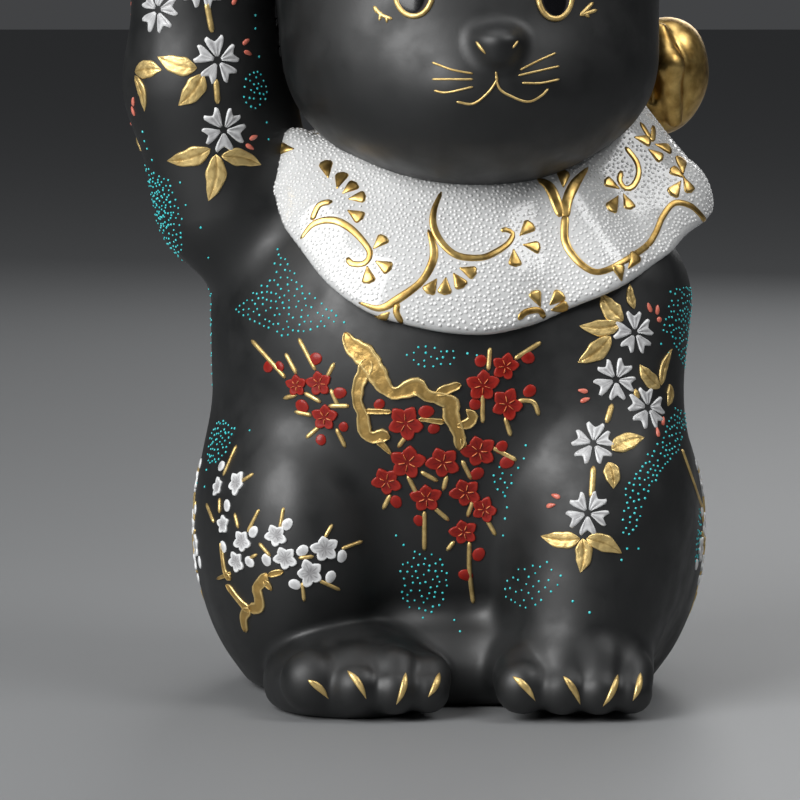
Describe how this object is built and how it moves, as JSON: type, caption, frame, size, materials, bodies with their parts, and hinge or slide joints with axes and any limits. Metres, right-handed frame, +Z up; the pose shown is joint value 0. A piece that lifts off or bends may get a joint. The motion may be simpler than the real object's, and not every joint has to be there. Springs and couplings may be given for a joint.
{
  "type": "beckoning cat figurine",
  "caption": "Seated hollow porcelain cat with one foreleg raised, a glazed bib, a gilt bow at the nape and a flat vented underside.",
  "frame": {"origin": "middle of the flat underside", "axes": "+Z up; the cat looks along -Y, so its raised right foreleg is at -X"},
  "size_m": [0.1529, 0.1371, 0.2499],
  "materials": {
    "black_porcelain": "matte black slip with a soft sheen",
    "white_glaze": "glossy white glaze with raised white dots",
    "gilding": "fired gold lustre over raised enamel",
    "eye_glaze": "glossy black glaze",
    "silver_enamel": "raised silver-white enamel",
    "red_enamel": "raised glossy red enamel",
    "coral_enamel": "raised coral enamel",
    "turquoise_enamel": "raised turquoise enamel dots"
  },
  "bodies": {
    "root": {"base_disc": "black_porcelain", "body_casting": "black_porcelain", "head_casting": "black_porcelain", "left_ear": "black_porcelain", "right_ear": "black_porcelain", "raised_foreleg": "black_porcelain", "raised_paw": "black_porcelain", "lowered_foreleg": "black_porcelain", "left_forepaw": "black_porcelain", "right_hind_paw": "black_porcelain", "left_hind_paw": "black_porcelain", "tail": "black_porcelain", "bib": "white_glaze", "bow_knot": "gilding", "bow_loop_left": "gilding", "bow_loop_right": "gilding", "bow_tails": "gilding", "left_eye": "eye_glaze", "right_eye": "eye_glaze", "gilt_claws": "gilding"}
  },
  "joints": []
}
